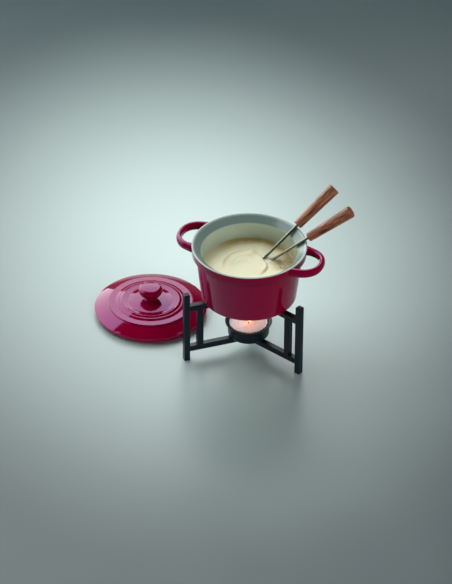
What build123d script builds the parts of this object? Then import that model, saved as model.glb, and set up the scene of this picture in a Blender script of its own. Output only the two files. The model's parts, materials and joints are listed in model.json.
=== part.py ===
from build123d import *
import math
import os

# Tabletop fondue set: a three-armed bar stand with a burner cup and a tealight, a glazed pot with
# two ear handles, its lid lying beside it, and two forks leaning on the rim.
# Millimetres, +Z up. The origin is on the table, at the middle of the set's outline.

# Axis of the stand, which the burner cup, the tealight and the pot share
STAND_X = 32.6
STAND_Y = -20.0

# Stand bars
BAR = 6.1
BAR_ROUND = 0.5
ARM_ANGLES = {"back": 90.0, "left": 210.0, "right": 330.0}
OUTER_POST_RADIUS = 65.7
INNER_POST_RADIUS = 51.6
UPPER_RAIL_INNER_END = 30.0
LOWER_RAIL_TOP = 16.5
UPPER_RAIL_TOP = 65.2
OUTER_POST_TOP = 79.2
MITRE = math.tan(math.radians(30.0))

# Burner cup, standing on the crossing of the lower rails
CUP_THICKNESS = 0.9
CUP_FLOOR_RADIUS = 20.6
CUP_CORNER = 3.0
CUP_WALL_RADIUS = 21.1
CUP_WALL_TOP = 30.2
CUP_LIP_RADIUS = 23.6
CUP_LIP_TOP = 32.3
CUP_LIP_ROUND = 0.3

# Tealight, standing on the cup's floor
TEALIGHT_RADIUS = 19.0
TEALIGHT_HEIGHT = 13.1
TEALIGHT_SHEET = 0.4
TEALIGHT_CORNER = 2.0
TEALIGHT_BEAD = 0.7
TEALIGHT_BEAD_OUTER_ROUND = 0.25
TEALIGHT_BEAD_INNER_ROUND = 0.15
WAX_DROP = 1.3
WICK_RADIUS = 0.7
WICK_FOOT = 4.0
WICK_ABOVE_WAX = 5.2

# Pot, standing on the upper rails
POT_BASE = UPPER_RAIL_TOP
POT_RIM = 123.7
RIM_RADIUS = 57.2
RIM_LIP = 1.6
RIM_ROUND = 0.7
COLLAR_HEIGHT = 8.2
COLLAR_STEP = 2.2
COLLAR_TAPER = 1.0
BODY_TOP_RADIUS = 53.3
BODY_FOOT_RADIUS = 47.3
POT_CORNER = 2.6
SEAT_RADIUS = 48.6
SEAT_DROP = 5.5
SEAT_ROUND = 1.0
LEDGE_DROP = 6.5
INNER_LEDGE_RADIUS = 47.6
FLOOR_INNER_RADIUS = 43.0
FLOOR_INNER_CORNER = 8.0
POT_FLOOR = 71.5

# Ear handles of the pot
EAR_ANGLES = {"right": -12.2, "left": 167.8}
EAR_HEIGHT = 118.9
EAR_ROOT_RADIUS = 52.0
EAR_REACHES = {"right": 75.6, "left": 73.4}
EAR_HALF_WIDTH = 20.5
EAR_BAR_WIDE = 5.4
EAR_BAR_TALL = 8.8
EAR_ROOT_WIDE = 8.4
EAR_ROOT_TALL = 9.4
EAR_SECTION_PLACES = (0, 0.25, 0.5, 0.75, 1)

# Lid, lying on the table on its locating ring
LID_X = -76.4
LID_Y = 20.0
LID_RADIUS = 57.4
LID_EDGE_BOTTOM = 1.7
LID_EDGE_HEIGHT = 5.6
LID_SHOULDER_RADIUS = 43.8
LID_SHOULDER_HEIGHT = 12.2
LID_STEP_RADIUS = 42.8
LID_STEP_HEIGHT = 13.5
LID_RING_RADIUS = 32.0
LID_RING_HEIGHT = 15.5
LID_PLATE_RADIUS = 30.8
LID_PLATE_HEIGHT = 14.8
LID_LOCATOR_OUTER = 47.0
LID_LOCATOR_INNER = 43.0
LID_ROOF_RADIUS = 37.0
LID_ROOF_HEIGHT = 10.0
LID_RING_ROUND = 0.8
LID_SKIRT_ARC = 22.0
LID_EDGE_TAPER = 0.4
LID_EDGE_ROUND = 1.0
LID_LOCATOR_ROUND = 0.5
LID_ROOF_ROUND = 3.0

# Knob of the lid
KNOB_RADIUS = 12.3
KNOB_NECK_RADIUS = 5.9
KNOB_FOOT_RADIUS = 8.3
KNOB_FOOT_EDGE = 0.7
KNOB_NECK_HEIGHT = 18.4
KNOB_CAP_ROUND = 3.8
KNOB_WIDEST_HEIGHT = 27.3
KNOB_DOME_ANGLE = 78.0

# Forks: heading and climb of each axis, the height of the axis over the rim, and where the
# handle starts beyond the rim
FORK_HEADINGS = {"1": 41.9, "2": 8.4}
FORK_CLIMBS = {"1": 34.3, "2": 38.2}
FORK_RIM_ANGLES = {"1": 44.0, "2": 18.3}
FORK_RIM_HEIGHTS = {"1": 125.65, "2": 125.75}
FORK_HANDLE_STARTS = {"1": 1.6, "2": 4.4}
FORK_RIM_RADIUS = RIM_RADIUS - RIM_LIP
SHAFT_RADIUS = 1.45
SHAFT_LENGTH = 90.0
TINE_LENGTH = 15.0
TINE_RADIUS = 0.75
TINE_TIP_RADIUS = 0.3
TINE_SPREAD = 2.6
TINE_BRIDGE = 2.4
TANG_LENGTH = 34.0
GRIP_LENGTH = 52.0
GRIP_START_RADIUS = 4.6
GRIP_END_RADIUS = 6.1
GRIP_ROUND = 0.8

os.makedirs("parts", exist_ok=True)

stand_plane = Plane(origin=(STAND_X, STAND_Y, 0), x_dir=(1, 0, 0), z_dir=(0, 0, 1))
stand_section = Plane(origin=(STAND_X, STAND_Y, 0), x_dir=(1, 0, 0), z_dir=(0, -1, 0))
stand_axis = Axis((STAND_X, STAND_Y, 0), (0, 0, 1))


def direction(angle):
    return Vector(math.cos(math.radians(angle)), math.sin(math.radians(angle)), 0)


def pot_outline():
    """Outer face of the pot in the stand's section, from the base's centre to the rim."""
    FilletPolyline(
        (0, POT_BASE),
        (BODY_FOOT_RADIUS, POT_BASE),
        (BODY_TOP_RADIUS, POT_RIM - COLLAR_HEIGHT - COLLAR_STEP),
        (RIM_RADIUS - COLLAR_TAPER, POT_RIM - COLLAR_HEIGHT),
        (RIM_RADIUS, POT_RIM),
        (RIM_RADIUS - RIM_LIP, POT_RIM),
        radius=[POT_CORNER, COLLAR_STEP, COLLAR_STEP, RIM_ROUND],
    )


# Stand: each arm has an outer post, an inner post and two rails between them
for arm, angle in ARM_ANGLES.items():
    out = direction(angle)
    rail_reach = OUTER_POST_RADIUS - BAR / 2
    arm_plane = Plane(origin=(STAND_X, STAND_Y, 0), x_dir=out, z_dir=(0, 0, 1))

    with BuildPart() as outer_post:
        with BuildSketch(arm_plane):
            with Locations((OUTER_POST_RADIUS, 0)):
                Rectangle(BAR, BAR)
        extrude(amount=OUTER_POST_TOP)
        fillet(outer_post.edges().filter_by(Axis.Z), BAR_ROUND)
        chamfer(outer_post.faces().sort_by(Axis.Z)[-1].edges(), BAR_ROUND)
    outer_post.part.label = "outer_post_" + arm
    export_step(outer_post.part, "parts/outer_post_" + arm + ".step")

    with BuildPart() as inner_post:
        with BuildSketch(arm_plane.offset(LOWER_RAIL_TOP)):
            with Locations((INNER_POST_RADIUS, 0)):
                Rectangle(BAR, BAR)
        extrude(amount=UPPER_RAIL_TOP - BAR - LOWER_RAIL_TOP)
        fillet(inner_post.edges().filter_by(Axis.Z), BAR_ROUND)
    inner_post.part.label = "inner_post_" + arm
    export_step(inner_post.part, "parts/inner_post_" + arm + ".step")

    # The three lower rails meet in a mitre on the stand's axis
    with BuildPart() as lower_rail:
        with BuildSketch(arm_plane.offset(LOWER_RAIL_TOP - BAR)):
            Polygon(
                (0, 0),
                (MITRE * BAR / 2, -BAR / 2),
                (rail_reach, -BAR / 2),
                (rail_reach, BAR / 2),
                (MITRE * BAR / 2, BAR / 2),
                align=None,
            )
        extrude(amount=BAR)
        fillet(lower_rail.edges().filter_by(Axis(arm_plane.origin, out)), BAR_ROUND)
    lower_rail.part.label = "lower_rail_" + arm
    export_step(lower_rail.part, "parts/lower_rail_" + arm + ".step")

    with BuildPart() as upper_rail:
        with BuildSketch(arm_plane.offset(UPPER_RAIL_TOP - BAR)):
            Polygon(
                (UPPER_RAIL_INNER_END, -BAR / 2),
                (rail_reach, -BAR / 2),
                (rail_reach, BAR / 2),
                (UPPER_RAIL_INNER_END, BAR / 2),
                align=None,
            )
        extrude(amount=BAR)
        fillet(upper_rail.edges().filter_by(Axis(arm_plane.origin, out)), BAR_ROUND)
    upper_rail.part.label = "upper_rail_" + arm
    export_step(upper_rail.part, "parts/upper_rail_" + arm + ".step")

# Burner cup: pressed sheet with a round corner and a flared lip
with BuildPart() as burner_cup:
    with BuildSketch(stand_section):
        with BuildLine():
            FilletPolyline(
                (0, LOWER_RAIL_TOP),
                (CUP_FLOOR_RADIUS, LOWER_RAIL_TOP),
                (CUP_WALL_RADIUS, CUP_WALL_TOP),
                (CUP_LIP_RADIUS, CUP_LIP_TOP - CUP_THICKNESS),
                (CUP_LIP_RADIUS, CUP_LIP_TOP),
                (CUP_WALL_RADIUS - CUP_THICKNESS, CUP_WALL_TOP + CUP_THICKNESS),
                (CUP_FLOOR_RADIUS - CUP_THICKNESS, LOWER_RAIL_TOP + CUP_THICKNESS),
                (0, LOWER_RAIL_TOP + CUP_THICKNESS),
                radius=[
                    CUP_CORNER,
                    CUP_THICKNESS,
                    CUP_LIP_ROUND,
                    CUP_LIP_ROUND,
                    CUP_THICKNESS,
                    CUP_CORNER - CUP_THICKNESS,
                ],
            )
            Line((0, LOWER_RAIL_TOP + CUP_THICKNESS), (0, LOWER_RAIL_TOP))
        make_face()
    revolve(axis=stand_axis)
burner_cup.part.label = "burner_cup"
export_step(burner_cup.part, "parts/burner_cup.step")

# Tealight: sheet cup with a beaded edge, wax and wick
tealight_bottom = LOWER_RAIL_TOP + CUP_THICKNESS
tealight_top = tealight_bottom + TEALIGHT_HEIGHT
tealight_wall = TEALIGHT_RADIUS - TEALIGHT_SHEET / 2
wax_bottom = tealight_bottom + TEALIGHT_SHEET
wax_radius = tealight_wall - TEALIGHT_SHEET
wax_top = tealight_top - WAX_DROP
wick_bottom = wax_bottom + WICK_FOOT

with BuildPart() as tealight_cup:
    with BuildSketch(stand_section):
        with BuildLine():
            FilletPolyline(
                (0, tealight_bottom),
                (tealight_wall, tealight_bottom),
                (tealight_wall, tealight_top - TEALIGHT_BEAD),
                (TEALIGHT_RADIUS, tealight_top - TEALIGHT_BEAD),
                (TEALIGHT_RADIUS, tealight_top),
                (wax_radius, tealight_top),
                (wax_radius, wax_bottom),
                (0, wax_bottom),
                radius=[
                    TEALIGHT_CORNER,
                    0,
                    0,
                    TEALIGHT_BEAD_OUTER_ROUND,
                    TEALIGHT_BEAD_INNER_ROUND,
                    TEALIGHT_CORNER - TEALIGHT_SHEET,
                ],
            )
            Line((0, wax_bottom), (0, tealight_bottom))
        make_face()
    revolve(axis=stand_axis)
tealight_cup.part.label = "tealight_cup"
export_step(tealight_cup.part, "parts/tealight_cup.step")

with BuildPart() as tealight_wax:
    with BuildSketch(stand_section):
        with BuildLine():
            FilletPolyline(
                (0, wax_bottom),
                (wax_radius, wax_bottom),
                (wax_radius, wax_top),
                (WICK_RADIUS, wax_top),
                radius=[TEALIGHT_CORNER - TEALIGHT_SHEET, 0],
            )
            Polyline(
                (WICK_RADIUS, wax_top),
                (WICK_RADIUS, wick_bottom),
                (0, wick_bottom),
                (0, wax_bottom),
            )
        make_face()
    revolve(axis=stand_axis)
tealight_wax.part.label = "tealight_wax"
export_step(tealight_wax.part, "parts/tealight_wax.step")

with BuildPart() as tealight_wick:
    with BuildSketch(stand_plane.offset(wick_bottom)):
        Circle(WICK_RADIUS)
    extrude(amount=wax_top + WICK_ABOVE_WAX - wick_bottom)
    fillet(tealight_wick.faces().sort_by(Axis.Z)[-1].edges(), WICK_RADIUS / 2)
tealight_wick.part.label = "tealight_wick"
export_step(tealight_wick.part, "parts/tealight_wick.step")

# Pot: tapered body under a collar, with a sloping lid seat inside the rim
with BuildPart() as pot_shell:
    with BuildSketch(stand_section):
        with BuildLine():
            pot_outline()
            FilletPolyline(
                (RIM_RADIUS - RIM_LIP, POT_RIM),
                (SEAT_RADIUS, POT_RIM - SEAT_DROP),
                (INNER_LEDGE_RADIUS, POT_RIM - LEDGE_DROP),
                (FLOOR_INNER_RADIUS, POT_FLOOR),
                (0, POT_FLOOR),
                radius=[SEAT_ROUND, SEAT_ROUND, FLOOR_INNER_CORNER],
            )
            Line((0, POT_FLOOR), (0, POT_BASE))
        make_face()
    revolve(axis=stand_axis)
pot_shell.part.label = "pot_shell"
export_step(pot_shell.part, "parts/pot_shell.step")

# Ear handles: a rounded bar swept along half an ellipse, thicker where it joins the collar
for side, angle in EAR_ANGLES.items():
    ear_centre = (STAND_X, STAND_Y, EAR_HEIGHT)
    ear_plane = Plane(origin=ear_centre, x_dir=direction(angle), z_dir=(0, 0, 1))
    with BuildPart() as pot_handle:
        with BuildLine(ear_plane) as ear_path:
            EllipticalCenterArc(
                (EAR_ROOT_RADIUS, 0),
                EAR_REACHES[side] - EAR_ROOT_RADIUS,
                EAR_HALF_WIDTH,
                start_angle=-90,
                arc_size=180,
            )
        for place in EAR_SECTION_PLACES:
            swell = (2 * abs(place - 0.5)) ** 2
            with BuildSketch(Plane(ear_path.line ^ place)):
                Ellipse(
                    (EAR_BAR_TALL + swell * (EAR_ROOT_TALL - EAR_BAR_TALL)) / 2,
                    (EAR_BAR_WIDE + swell * (EAR_ROOT_WIDE - EAR_BAR_WIDE)) / 2,
                )
        sweep(path=ear_path.line, multisection=True)
        with BuildSketch(stand_section):
            with BuildLine():
                pot_outline()
                Polyline((RIM_RADIUS - RIM_LIP, POT_RIM), (0, POT_RIM), (0, POT_BASE))
            make_face()
        revolve(axis=stand_axis, mode=Mode.SUBTRACT)
    pot_handle.part.label = "pot_handle_" + side
    export_step(pot_handle.part, "parts/pot_handle_" + side + ".step")

# Lid: domed skirt, a step, a raised ring round a flat plate, and a locating ring underneath
lid_plane = Plane(origin=(LID_X, LID_Y, 0), x_dir=(1, 0, 0), z_dir=(0, -1, 0))
lid_axis = Axis((LID_X, LID_Y, 0), (0, 0, 1))

with BuildPart() as lid_shell:
    with BuildSketch(lid_plane):
        with BuildLine():
            Line((0, LID_PLATE_HEIGHT), (LID_PLATE_RADIUS, LID_PLATE_HEIGHT))
            FilletPolyline(
                (LID_PLATE_RADIUS, LID_PLATE_HEIGHT),
                (LID_RING_RADIUS, LID_RING_HEIGHT),
                (LID_STEP_RADIUS, LID_STEP_HEIGHT),
                (LID_SHOULDER_RADIUS, LID_SHOULDER_HEIGHT),
                radius=[LID_RING_ROUND, LID_RING_ROUND],
            )
            RadiusArc(
                (LID_SHOULDER_RADIUS, LID_SHOULDER_HEIGHT),
                (LID_RADIUS, LID_EDGE_HEIGHT),
                LID_SKIRT_ARC,
            )
            FilletPolyline(
                (LID_RADIUS, LID_EDGE_HEIGHT),
                (LID_RADIUS - LID_EDGE_TAPER, LID_EDGE_BOTTOM),
                (LID_LOCATOR_OUTER, LID_EDGE_BOTTOM),
                (LID_LOCATOR_OUTER, 0),
                (LID_LOCATOR_INNER, 0),
                (LID_ROOF_RADIUS, LID_ROOF_HEIGHT),
                (0, LID_ROOF_HEIGHT),
                radius=[LID_EDGE_ROUND, 0, LID_LOCATOR_ROUND, LID_LOCATOR_ROUND, LID_ROOF_ROUND],
            )
            Line((0, LID_ROOF_HEIGHT), (0, LID_PLATE_HEIGHT))
        make_face()
    revolve(axis=lid_axis)
lid_shell.part.label = "lid_shell"
export_step(lid_shell.part, "parts/lid_shell.step")

# The knob's cap is a round edge that runs into a flatter dome, tangent to it
knob_edge_radius = KNOB_RADIUS - KNOB_CAP_ROUND
dome_slope = math.radians(KNOB_DOME_ANGLE)
dome_centre = KNOB_WIDEST_HEIGHT - knob_edge_radius * math.tan(dome_slope)
dome_radius = KNOB_CAP_ROUND + knob_edge_radius / math.cos(dome_slope)
foot_top = LID_PLATE_HEIGHT + KNOB_FOOT_EDGE

with BuildPart() as lid_knob:
    with BuildSketch(lid_plane):
        with BuildLine():
            Polyline(
                (0, dome_centre + dome_radius),
                (0, LID_PLATE_HEIGHT),
                (KNOB_FOOT_RADIUS, LID_PLATE_HEIGHT),
                (KNOB_FOOT_RADIUS, foot_top),
            )
            ThreePointArc(
                (KNOB_FOOT_RADIUS, foot_top),
                (KNOB_NECK_RADIUS, KNOB_NECK_HEIGHT),
                (knob_edge_radius, KNOB_WIDEST_HEIGHT - KNOB_CAP_ROUND),
            )
            CenterArc(
                (knob_edge_radius, KNOB_WIDEST_HEIGHT),
                KNOB_CAP_ROUND,
                start_angle=-90,
                arc_size=90 + KNOB_DOME_ANGLE,
            )
            CenterArc(
                (0, dome_centre),
                dome_radius,
                start_angle=KNOB_DOME_ANGLE,
                arc_size=90 - KNOB_DOME_ANGLE,
            )
        make_face()
    revolve(axis=lid_axis)
lid_knob.part.label = "lid_knob"
export_step(lid_knob.part, "parts/lid_knob.step")

# Forks: a steel shaft with two tines and a tang, and a turned wooden grip on the tang
for fork, heading in FORK_HEADINGS.items():
    climb = math.radians(FORK_CLIMBS[fork])
    ahead = direction(heading)
    along = ahead * math.cos(climb) + Vector(0, 0, math.sin(climb))
    across = ahead.rotate(Axis.Z, -90)
    rim_centre = Vector(STAND_X, STAND_Y, FORK_RIM_HEIGHTS[fork])
    rim_point = rim_centre + direction(FORK_RIM_ANGLES[fork]) * FORK_RIM_RADIUS
    grip_point = rim_point + along * FORK_HANDLE_STARTS[fork]
    fork_plane = Plane(origin=grip_point, x_dir=across, z_dir=across.cross(along))
    shaft_foot = TINE_LENGTH - SHAFT_LENGTH

    with BuildPart() as fork_shaft:
        with BuildSketch(fork_plane):
            with BuildLine():
                Polyline(
                    (0, shaft_foot),
                    (SHAFT_RADIUS, shaft_foot),
                    (SHAFT_RADIUS, TANG_LENGTH),
                    (0, TANG_LENGTH),
                    close=True,
                )
            make_face()
        revolve(axis=Axis(grip_point, along))
        with BuildSketch(fork_plane.offset(-TINE_RADIUS)):
            with Locations((0, shaft_foot)):
                Rectangle(2 * (TINE_SPREAD + TINE_RADIUS), TINE_BRIDGE)
        extrude(amount=2 * TINE_RADIUS)
        for tine in (-TINE_SPREAD, TINE_SPREAD):
            with BuildSketch(fork_plane):
                with BuildLine():
                    Polyline(
                        (tine, shaft_foot),
                        (tine + TINE_RADIUS, shaft_foot),
                        (tine + TINE_TIP_RADIUS, -SHAFT_LENGTH),
                        (tine, -SHAFT_LENGTH),
                        close=True,
                    )
                make_face()
            revolve(axis=Axis(grip_point + across * tine, along))
    fork_shaft.part.label = "fork_" + fork + "_shaft"
    export_step(fork_shaft.part, "parts/fork_" + fork + "_shaft.step")

    with BuildPart() as fork_handle:
        with BuildSketch(fork_plane):
            with BuildLine():
                Line((SHAFT_RADIUS, TANG_LENGTH), (SHAFT_RADIUS, 0))
                FilletPolyline(
                    (SHAFT_RADIUS, 0),
                    (GRIP_START_RADIUS, 0),
                    (GRIP_END_RADIUS, GRIP_LENGTH),
                    (0, GRIP_LENGTH),
                    radius=GRIP_ROUND,
                )
                Polyline((0, GRIP_LENGTH), (0, TANG_LENGTH), (SHAFT_RADIUS, TANG_LENGTH))
            make_face()
        revolve(axis=Axis(grip_point, along))
    fork_handle.part.label = "fork_" + fork + "_handle"
    export_step(fork_handle.part, "parts/fork_" + fork + "_handle.step")
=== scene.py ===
import json
import math

import bmesh
import bpy
from mathutils import Matrix, Vector, noise


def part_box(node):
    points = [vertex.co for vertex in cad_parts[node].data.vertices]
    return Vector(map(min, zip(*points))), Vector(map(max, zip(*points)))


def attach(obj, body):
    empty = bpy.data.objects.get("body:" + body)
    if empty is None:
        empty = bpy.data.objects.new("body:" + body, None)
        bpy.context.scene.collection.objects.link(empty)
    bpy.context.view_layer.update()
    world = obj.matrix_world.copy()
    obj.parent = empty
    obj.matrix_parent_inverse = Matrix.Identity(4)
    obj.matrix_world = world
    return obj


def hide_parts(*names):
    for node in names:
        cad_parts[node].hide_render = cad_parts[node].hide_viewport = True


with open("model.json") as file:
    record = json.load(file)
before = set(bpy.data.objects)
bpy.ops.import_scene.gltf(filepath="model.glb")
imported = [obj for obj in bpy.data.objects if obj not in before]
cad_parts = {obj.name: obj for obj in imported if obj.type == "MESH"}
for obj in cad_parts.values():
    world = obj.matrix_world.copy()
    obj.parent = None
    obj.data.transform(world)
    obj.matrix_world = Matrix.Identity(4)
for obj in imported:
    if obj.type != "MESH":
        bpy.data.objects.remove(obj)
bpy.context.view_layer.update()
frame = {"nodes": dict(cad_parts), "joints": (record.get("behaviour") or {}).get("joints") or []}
nodes = frame["nodes"]
MM = 0.001
TINY = 1e-6
CORNER_SHARE = 0.48
SHARP_ANGLE = math.radians(50)


# ---------------------------------------------------------------- helpers: numbers


def smooth(low, high, value):
    """0 below low, 1 above high, and an ease between them."""
    t = min(1.0, max(0.0, (value - low) / (high - low)))
    return t * t * (3 - 2 * t)


def between(rise, full, falling, end, value):
    """0 outside rise and end, 1 from full to falling, and an ease between them."""
    return smooth(rise, full, value) * (1 - smooth(falling, end, value))


def rounded(points, steps=6):
    """(x, z, radius) corners in mm as a dense (x, z) line, each corner an arc of its radius."""
    line = []
    for i, (x, z, radius) in enumerate(points):
        corner = Vector((x, z))
        if radius == 0 or i in (0, len(points) - 1):
            line.append((x, z))
            continue
        back = Vector(points[i - 1][:2]) - corner
        ahead = Vector(points[i + 1][:2]) - corner
        half = back.angle(ahead) / 2
        if half > math.pi / 2 - 0.01:
            line.append((x, z))
            continue
        reach = min(radius / math.tan(half), CORNER_SHARE * back.length, CORNER_SHARE * ahead.length)
        radius = reach * math.tan(half)
        centre = corner + (back.normalized() + ahead.normalized()).normalized() * (radius / math.sin(half))
        start = corner + back.normalized() * reach - centre
        end = corner + ahead.normalized() * reach - centre
        turn = start.angle_signed(end)
        for k in range(steps + 1):
            a = -turn * k / steps
            c, s = math.cos(a), math.sin(a)
            line.append((centre.x + c * start.x - s * start.y, centre.y + s * start.x + c * start.y))
    return line


def subdivided(line, longest):
    """The same line with no segment longer than longest."""
    out = [line[0]]
    for a, b in zip(line, line[1:]):
        n = max(1, math.ceil(math.dist(a, b) / longest))
        out += [(a[0] + (b[0] - a[0]) * k / n, a[1] + (b[1] - a[1]) * k / n) for k in range(1, n + 1)]
    return out


# ---------------------------------------------------------------- helpers: meshes


def new_object(name, verts, faces, body, materials, kinds=None):
    """A smooth-shaded mesh piece on a body; kinds gives each face's place in materials."""
    mesh = bpy.data.meshes.new(name)
    mesh.from_pydata(verts, [], faces)
    if kinds:
        mesh.polygons.foreach_set("material_index", kinds)
    for material in materials:
        mesh.materials.append(material)
    bm = bmesh.new()
    bm.from_mesh(mesh)
    bmesh.ops.recalc_face_normals(bm, faces=bm.faces)
    bm.to_mesh(mesh)
    bm.free()
    mesh.polygons.foreach_set("use_smooth", [True] * len(mesh.polygons))
    mesh.set_sharp_from_angle(angle=SHARP_ANGLE)
    obj = bpy.data.objects.new(name, mesh)
    bpy.context.scene.collection.objects.link(obj)
    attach(obj, body)
    return obj


def lathe(name, parts, centre, body, segments=240, ripple=None):
    """A solid turned round centre from (line, material) parts, each line of (radius, z) in mm.

    Each part starts where the last one ended, and the whole runs from the axis to the axis.
    ripple(angle, radius, z) gives how far a point moves out and up."""
    verts, faces, materials, kinds = [], [], [], []
    last_ring = None
    for line, material in parts:
        if material not in materials:
            materials.append(material)
        for i, (r, z) in enumerate(line):
            if i == 0 and last_ring:
                continue
            if r < TINY:
                verts.append(Vector((centre[0], centre[1], z)) * MM)
                ring = [len(verts) - 1] * segments
            else:
                ring = []
                for k in range(segments):
                    a = 2 * math.pi * k / segments
                    dr, dz = ripple(a, r, z) if ripple else (0, 0)
                    x = centre[0] + (r + dr) * math.cos(a)
                    y = centre[1] + (r + dr) * math.sin(a)
                    verts.append(Vector((x, y, z + dz)) * MM)
                    ring.append(len(verts) - 1)
            if last_ring:
                for k in range(segments):
                    n = (k + 1) % segments
                    face = [last_ring[k], last_ring[n], ring[n], ring[k]]
                    face = [v for j, v in enumerate(face) if v != face[j - 1]]
                    if len(face) > 2:
                        faces.append(face)
                        kinds.append(materials.index(material))
            last_ring = ring
    return new_object(name, verts, faces, body, materials, kinds)


def swept(name, path, section, up, body, material):
    """A closed bar along path (points in mm); section(share) gives its (side, up) outline there."""
    verts, faces = [], []
    up = Vector(up)
    count = len(path)
    for i, point in enumerate(path):
        along = (path[min(i + 1, count - 1)] - path[max(i - 1, 0)]).normalized()
        side = along.cross(up).normalized()
        over = side.cross(along)
        outline = section(i / (count - 1))
        verts += [(point + side * s + over * u) * MM for s, u in outline]
    n = len(outline)
    for i in range(count - 1):
        for k in range(n):
            m = (k + 1) % n
            faces.append([i * n + k, i * n + m, (i + 1) * n + m, (i + 1) * n + k])
    for end, point in ((0, path[0]), (count - 1, path[-1])):
        verts.append(point * MM)
        for k in range(n):
            faces.append([end * n + k, end * n + (k + 1) % n, len(verts) - 1])
    return new_object(name, verts, faces, body, [material])


def superellipse(half_side, half_up, power, count):
    """Outline of an ellipse (power 2) or, above that, of a squarer one."""
    out = []
    for k in range(count):
        a = 2 * math.pi * k / count
        c, s = math.cos(a), math.sin(a)
        side = math.copysign(half_side * abs(c) ** (2 / power), c)
        out.append((side, math.copysign(half_up * abs(s) ** (2 / power), s)))
    return out


def evenly(points, count):
    """The same line as count points at equal distances."""
    lengths = [0.0]
    for a, b in zip(points, points[1:]):
        lengths.append(lengths[-1] + (b - a).length)
    out, i = [], 0
    for k in range(count):
        target = lengths[-1] * k / (count - 1)
        while i < len(points) - 2 and lengths[i + 1] < target:
            i += 1
        share = (target - lengths[i]) / max(TINY, lengths[i + 1] - lengths[i])
        out.append(points[i].lerp(points[i + 1], share))
    return out


def arc(start, end, radius, steps):
    """Points from start to end on an arc of radius that bulges to the left of the way there."""
    a, b = Vector(start), Vector(end)
    half = (b - a).length / 2
    normal = Vector((-(b - a).y, (b - a).x)).normalized()
    centre = (a + b) / 2 - normal * math.sqrt(radius * radius - half * half)
    first = a - centre
    turn = first.angle_signed(b - centre)
    out = []
    for k in range(steps + 1):
        c, s = math.cos(-turn * k / steps), math.sin(-turn * k / steps)
        out.append((centre.x + c * first.x - s * first.y, centre.y + s * first.x + c * first.y))
    return out


# ---------------------------------------------------------------- helpers: materials


FLAT_DOT = 0.995
EDGE_DOT = 0.9


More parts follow.
